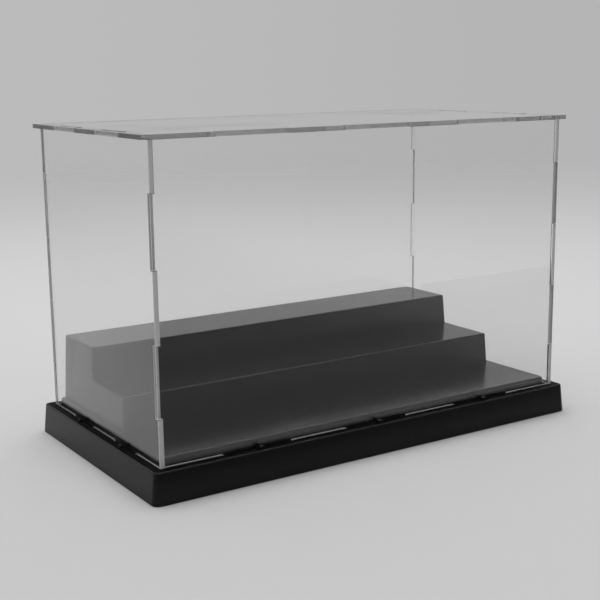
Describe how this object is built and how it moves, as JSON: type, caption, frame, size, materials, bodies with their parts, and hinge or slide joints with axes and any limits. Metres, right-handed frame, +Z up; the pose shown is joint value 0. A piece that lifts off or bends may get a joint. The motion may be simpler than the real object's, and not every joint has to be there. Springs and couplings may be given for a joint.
{
  "type": "action figure display case",
  "caption": "Clear finger-jointed box on a black moulded base, with a stepped riser inside for standing figures on; the cover, its top sheet and the riser lift off.",
  "frame": {"origin": "centre of the base's footprint, on the surface that it stands on", "axes": "+X along the width, to the right as seen from the front; +Y towards the back; +Z up"},
  "size_m": [0.3, 0.161, 0.1932],
  "materials": {
    "base_plastic": "black moulded plastic with a low sheen",
    "riser_plastic": "black moulded plastic, satin",
    "clear_sheet": "clear cast sheet with laser-cut edges"
  },
  "bodies": {
    "base": {"base": "base_plastic"},
    "riser": {"riser": "riser_plastic"},
    "walls": {"front_panel": "clear_sheet", "back_panel": "clear_sheet", "left_panel": "clear_sheet", "right_panel": "clear_sheet"},
    "top": {"top_panel": "clear_sheet"}
  },
  "joints": [
    {"name": "walls_lift", "type": "slide", "parent": "base", "child": "walls", "axis": [0, 0, 1], "range_m": [0, 0.2]},
    {"name": "top_lift", "type": "slide", "parent": "walls", "child": "top", "axis": [0, 0, 1], "range_m": [0, 0.06]},
    {"name": "riser_lift", "type": "slide", "parent": "base", "child": "riser", "axis": [0, 0, 1], "range_m": [0, 0.12]}
  ]
}
